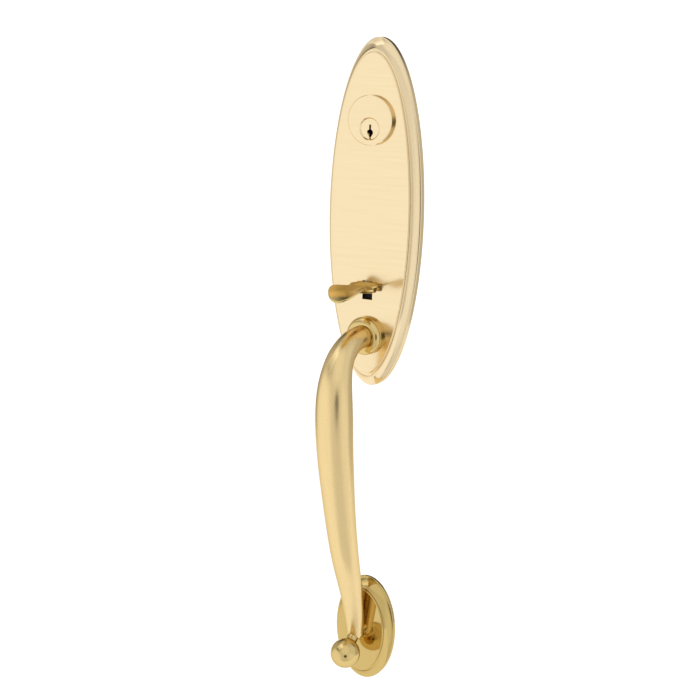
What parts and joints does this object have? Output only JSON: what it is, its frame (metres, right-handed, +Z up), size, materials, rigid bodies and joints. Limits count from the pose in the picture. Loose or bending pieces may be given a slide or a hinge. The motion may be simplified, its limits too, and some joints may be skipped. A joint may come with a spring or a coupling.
{
  "type": "entry door handleset",
  "caption": "Oval escutcheon entry door handleset with keyed lock cylinder, thumbpiece, curved pull grip, ball finial and lower oval rose.",
  "frame": {"origin": "centre of the escutcheon plate's outline, in the plane of the door's outer surface on which the plate and the rose rest", "axes": "+Z up the door, +X to the right as seen from outside, +Y into the door (the handleset faces -Y)"},
  "size_m": [0.0836, 0.1276, 0.5311],
  "materials": {
    "plate_brass": "satin, fine horizontal brushing on the face, clear lacquer",
    "housing_brass": "satin, clear lacquer",
    "nut_brass": "turned, unpolished",
    "plug_brass": "satin, clear lacquer",
    "pin_brass": "turned",
    "pin_steel": "turned",
    "spring_steel": "drawn wire",
    "cover_brass": "rolled strip",
    "cap_brass": "turned, unpolished",
    "tailpiece_steel": "stamped, zinc plated",
    "thumb_brass": "cast, satin, clear lacquer",
    "bracket_steel": "folded sheet, black oxide",
    "screw_steel": "zinc plated",
    "lever_steel": "stamped and folded, zinc plated",
    "pivot_steel": "ground",
    "clip_steel": "hardened strip",
    "cam_steel": "sintered, zinc plated",
    "spindle_steel": "drawn square bar",
    "carrier_steel": "stamped sheet, zinc plated",
    "post_steel": "turned, zinc plated",
    "nut_steel": "zinc plated",
    "collar_brass": "turned, satin, clear lacquer",
    "grip_brass": "cast, satin, clear lacquer",
    "bolt_steel": "black oxide",
    "washer_steel": "zinc plated",
    "ball_brass": "polished, clear lacquer",
    "rose_brass": "polished, clear lacquer"
  },
  "bodies": {
    "frame": {"ball_finial": "ball_brass", "bracket_screws": "screw_steel", "cam_carrier": "carrier_steel", "cylinder_housing": "housing_brass", "cylinder_ring_nut": "nut_brass", "driver_pins": "pin_steel", "escutcheon_plate": "plate_brass", "grip": "grip_brass", "grip_bolt": "bolt_steel", "grip_collar": "collar_brass", "grip_washer": "washer_steel", "lower_post": "post_steel", "lower_rose": "rose_brass", "mounting_posts": "post_steel", "pin_springs": "spring_steel", "pivot_clips": "clip_steel", "post_nuts": "nut_steel", "spring_cover": "cover_brass", "thumb_bracket": "bracket_steel", "thumb_pivot_pin": "pivot_steel", "thumb_return_spring": "spring_steel"},
    "thumb": {"thumbpiece": "thumb_brass", "lift_lever": "lever_steel"},
    "cam": {"latch_cam": "cam_steel", "latch_spindle": "spindle_steel", "cam_ring": "clip_steel"},
    "plug": {"cylinder_plug": "plug_brass", "key_pins": "pin_brass", "plug_end_cap": "cap_brass", "tailpiece": "tailpiece_steel"}
  },
  "joints": [
    {"name": "thumb_press", "type": "hinge", "parent": "frame", "child": "thumb", "pos_m": [0, -0.005, -0.057], "axis": [1, 0, 0], "range_deg": [0, 14], "stiffness_Nm_per_rad": 0.3, "springref_deg": -20.05, "deforming": ["thumb_return_spring"]},
    {"name": "cam_turn", "type": "hinge", "parent": "frame", "child": "cam", "pos_m": [0, 0, -0.0647], "axis": [0, 1, 0], "range_deg": [0, 29.4]},
    {"name": "plug_turn", "type": "hinge", "parent": "frame", "child": "plug", "pos_m": [0, 0, 0.0683], "axis": [0, 1, 0], "range_deg": [-90, 90]}
  ],
  "couplings": [
    {"joint": "cam_turn", "follows": "thumb_press", "ratio": 2.1}
  ]
}
